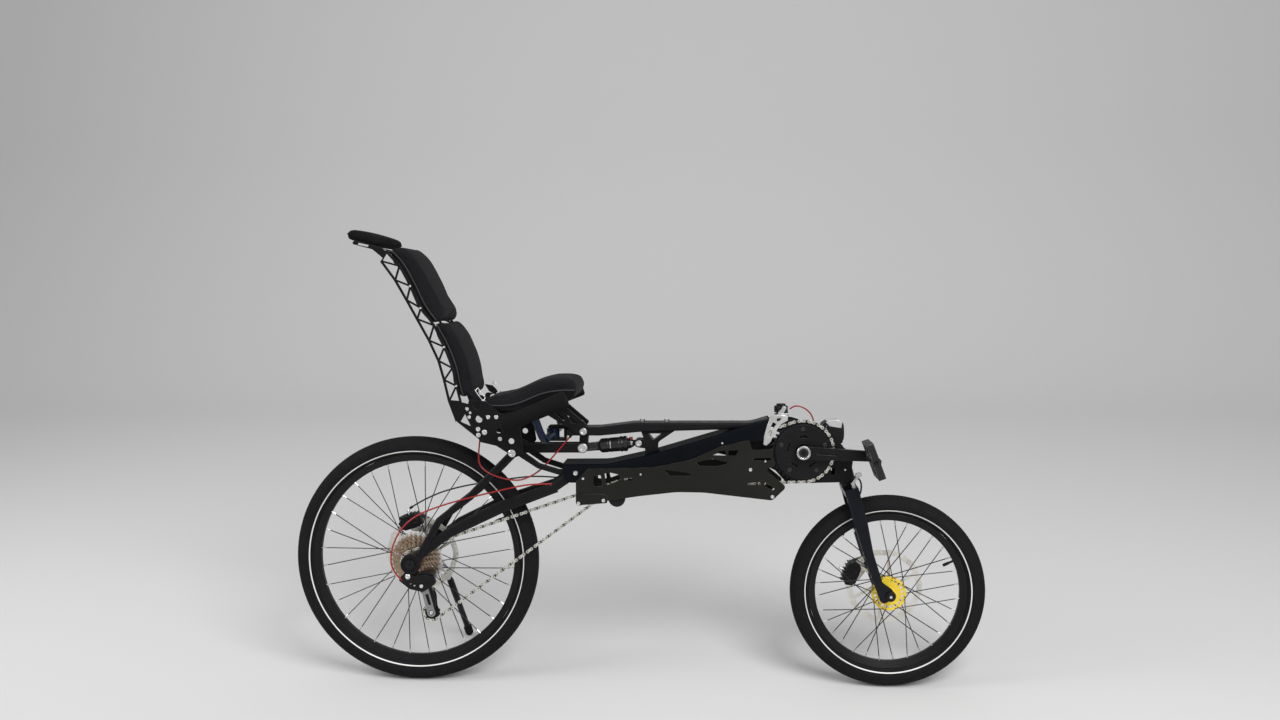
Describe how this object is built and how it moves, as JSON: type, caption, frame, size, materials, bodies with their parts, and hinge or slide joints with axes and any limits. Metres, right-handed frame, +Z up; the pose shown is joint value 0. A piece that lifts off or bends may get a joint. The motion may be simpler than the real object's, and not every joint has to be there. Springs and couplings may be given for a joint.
{
  "type": "recumbent bicycle",
  "caption": "Fully suspended recumbent bicycle with a reclined lattice-sided seat, chain drive over the front wheel, disc brakes and a side stand.",
  "frame": {"origin": "centre of the bounding box at ground level", "axes": "+X forward, +Y to the rider's left, +Z up"},
  "size_m": [1.8298, 0.3824, 1.2011],
  "materials": {
    "frame_black": "satin black",
    "shell_grey": "satin dark grey-green",
    "bright_steel": "bright",
    "chainring_black": "black anodised",
    "hub_black": "black anodised",
    "cassette_steel": "warm plated steel",
    "tyre_rubber": "matt",
    "rim_black": "black anodised",
    "hub_yellow": "yellow anodised",
    "pad_fabric": "black mesh fabric over foam",
    "foam": "black foam rubber",
    "cable_red": "glossy red",
    "cable_black": "glossy black"
  },
  "bodies": {
    "frame": {"main_beam": "frame_black", "shell_right": "shell_grey", "shell_left": "shell_grey", "top_beam": "frame_black", "bottle_bosses": "bright_steel", "shock_post": "frame_black", "front_frame": "frame_black", "headlight": "bright_steel", "swingarm": "frame_black", "suspension_link": "frame_black", "rocker": "frame_black", "shock": "frame_black", "pivot_bolts": "bright_steel", "rear_axle": "bright_steel", "chain": "bright_steel", "seat_side_right": "frame_black", "seat_side_left": "frame_black", "seat_crossbars": "frame_black", "seat_pan": "frame_black", "seat_struts": "frame_black", "back_cushion_upper": "pad_fabric", "back_cushion_lower": "pad_fabric", "head_roll": "foam", "seat_cushion": "pad_fabric", "bar_pivot": "frame_black", "stand_bracket": "bright_steel", "rear_derailleur": "frame_black", "front_derailleur": "bright_steel", "return_idler": "chainring_black", "rear_caliper": "frame_black", "red_cables": "cable_red", "black_cables": "cable_black"},
    "rear_wheel": {"rear_tyre": "tyre_rubber", "rear_rim": "rim_black", "rear_hub": "hub_black", "rear_rotor": "bright_steel", "cassette": "cassette_steel"},
    "fork": {"fork": "frame_black", "front_axle": "bright_steel", "front_caliper": "frame_black", "steering_arm": "bright_steel"},
    "front_wheel": {"front_tyre": "tyre_rubber", "front_rim": "rim_black", "front_hub": "hub_yellow", "front_rotor": "bright_steel"},
    "crank": {"chainring": "chainring_black", "chain_guard": "frame_black", "cranks": "frame_black"},
    "pedal_right": {"pedal_right": "frame_black"},
    "pedal_left": {"pedal_left": "frame_black"},
    "handlebar": {"handlebar": "frame_black", "grips": "foam"},
    "side_stand": {"stand_leg": "frame_black", "stand_foot": "foam"}
  },
  "joints": [
    {"name": "rear_wheel_spin", "type": "hinge", "parent": "frame", "child": "rear_wheel", "pos_m": [-0.58575, -0.06323, 0.32575], "axis": [0, 0.9877, -0.1564], "continuous": true},
    {"name": "steering", "type": "hinge", "parent": "frame", "child": "fork", "pos_m": [0.56022, -0.03092, 0.52975], "axis": [-0.2588, 0.1511, 0.954], "range_deg": [-25, 25]},
    {"name": "front_wheel_spin", "type": "hinge", "parent": "fork", "child": "front_wheel", "pos_m": [0.66225, -0.0752, 0.25019], "axis": [0, 0.9877, -0.1564], "continuous": true},
    {"name": "crank_spin", "type": "hinge", "parent": "frame", "child": "crank", "pos_m": [0.43822, -0.01668, 0.61962], "axis": [0, 0.9877, -0.1564], "continuous": true},
    {"name": "pedal_right_spin", "type": "hinge", "parent": "crank", "child": "pedal_right", "pos_m": [0.60599, -0.14251, 0.63065], "axis": [0, 0.9877, -0.1564], "continuous": true},
    {"name": "pedal_left_spin", "type": "hinge", "parent": "crank", "child": "pedal_left", "pos_m": [0.27045, 0.10914, 0.6086], "axis": [0, 0.9877, -0.1564], "continuous": true},
    {"name": "handlebar_turn", "type": "hinge", "parent": "frame", "child": "handlebar", "pos_m": [-0.21375, -0.01028, 0.66008], "axis": [0, 0.1564, 0.9877], "range_deg": [-12, 12]},
    {"name": "side_stand_fold", "type": "hinge", "parent": "frame", "child": "side_stand", "pos_m": [-0.52575, 0.00918, 0.24594], "axis": [0.051, 0.8854, 0.4621], "range_deg": [0, 90]}
  ],
  "couplings": [
    {"joint": "handlebar_turn", "follows": "steering", "ratio": 0.48}
  ]
}
